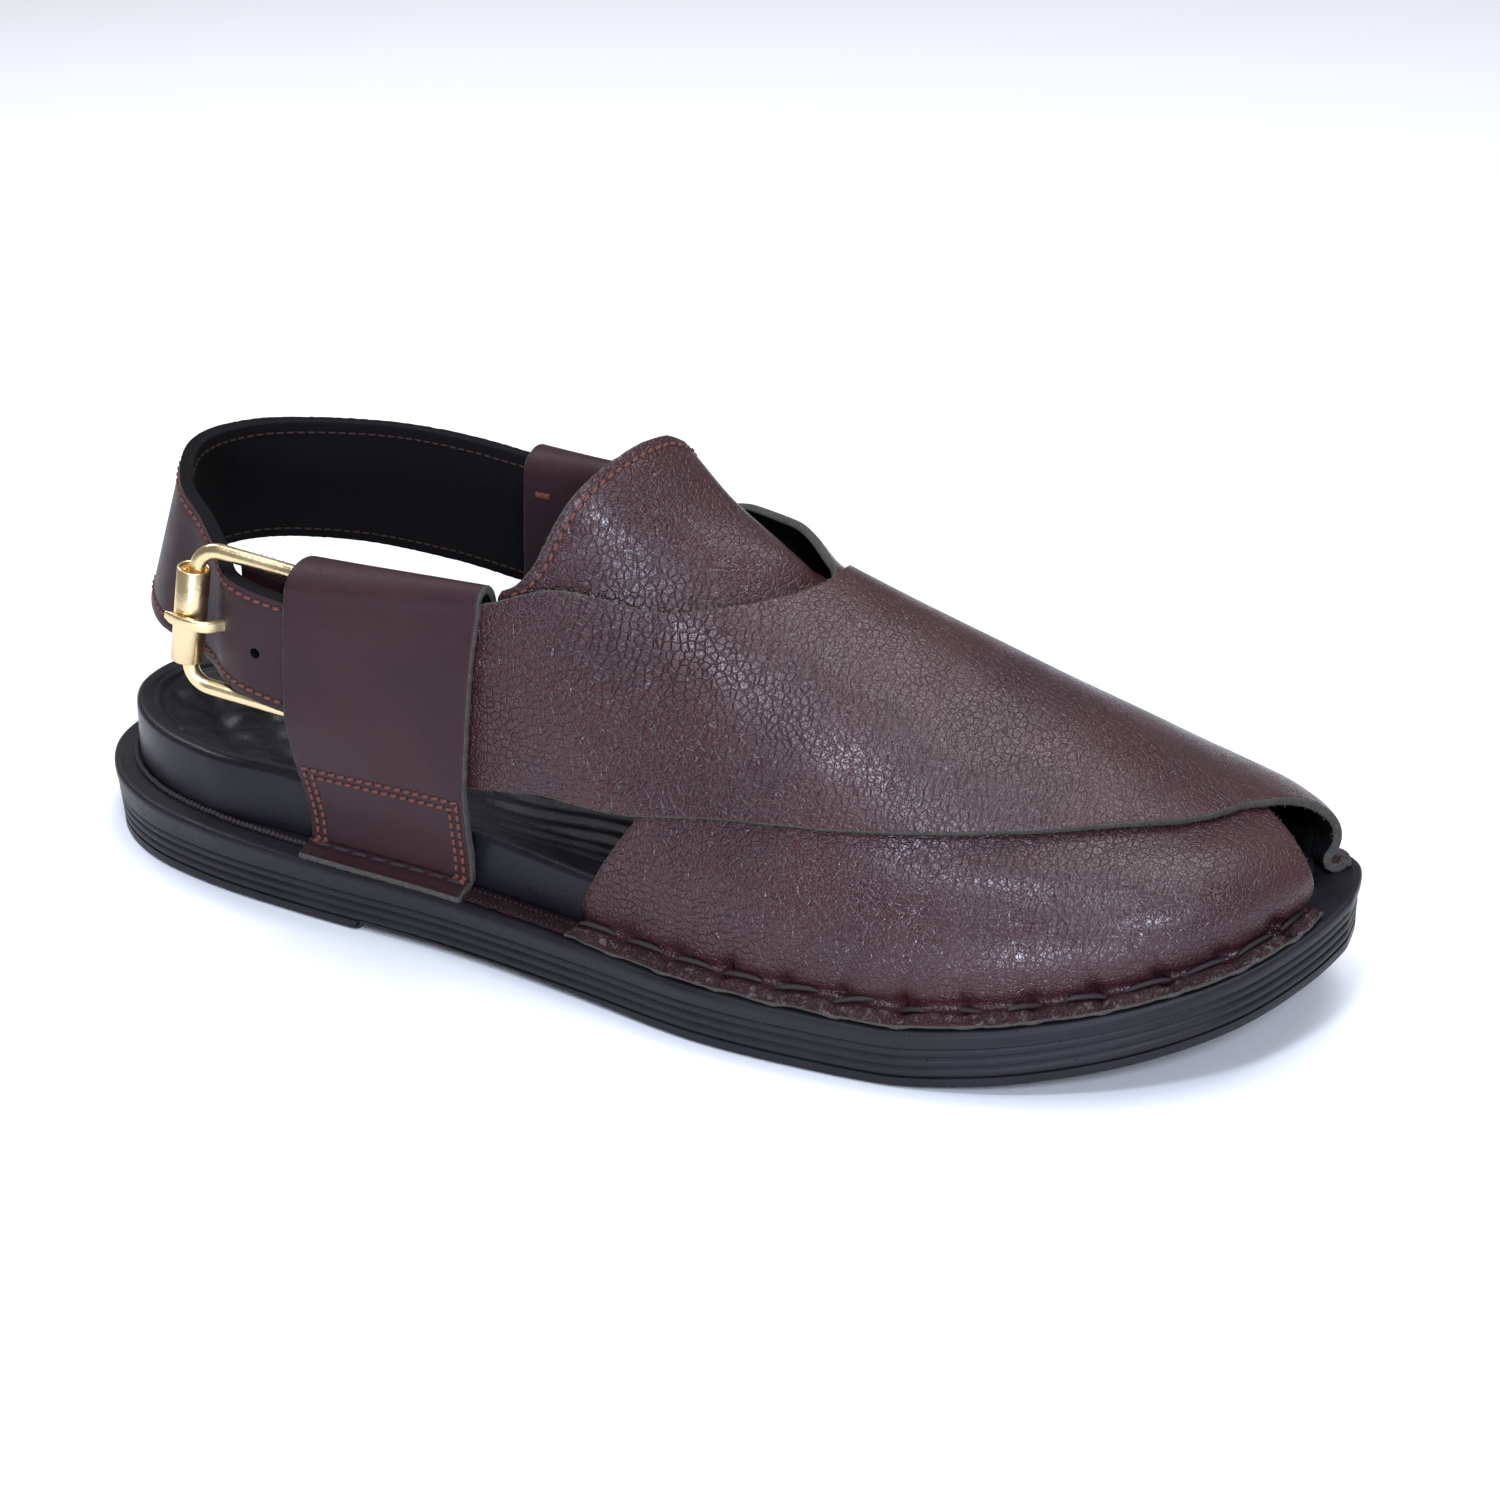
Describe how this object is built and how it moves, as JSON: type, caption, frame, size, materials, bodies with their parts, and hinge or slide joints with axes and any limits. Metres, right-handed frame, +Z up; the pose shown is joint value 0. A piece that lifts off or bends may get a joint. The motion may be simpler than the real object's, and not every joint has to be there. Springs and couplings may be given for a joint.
{
  "type": "peshawari chappal",
  "caption": "Right-foot leather sandal with crossed vamp flaps, a raised tongue, a heel strap on a brass roller buckle and a black moulded sole.",
  "frame": {"origin": "middle of the bounding box in plan, on the floor under the sole", "axes": "+X from heel to toe, +Y to the inner side of the foot, +Z up"},
  "size_m": [0.288, 0.1056, 0.105],
  "materials": {
    "black_sole": "matt moulded rubber",
    "black_footbed": "satin moulded foam",
    "brown_leather": "pebbled full-grain leather, satin",
    "brass": "polished"
  },
  "bodies": {
    "root": {"outsole": "black_sole", "insole": "black_footbed", "upper": "brown_leather", "tongue": "brown_leather", "lateral_loop": "brown_leather", "medial_loop": "brown_leather", "heel_strap": "brown_leather", "buckle_chape": "brown_leather", "buckle_frame": "brass", "buckle_roller": "brass", "buckle_prong": "brass"}
  },
  "joints": []
}
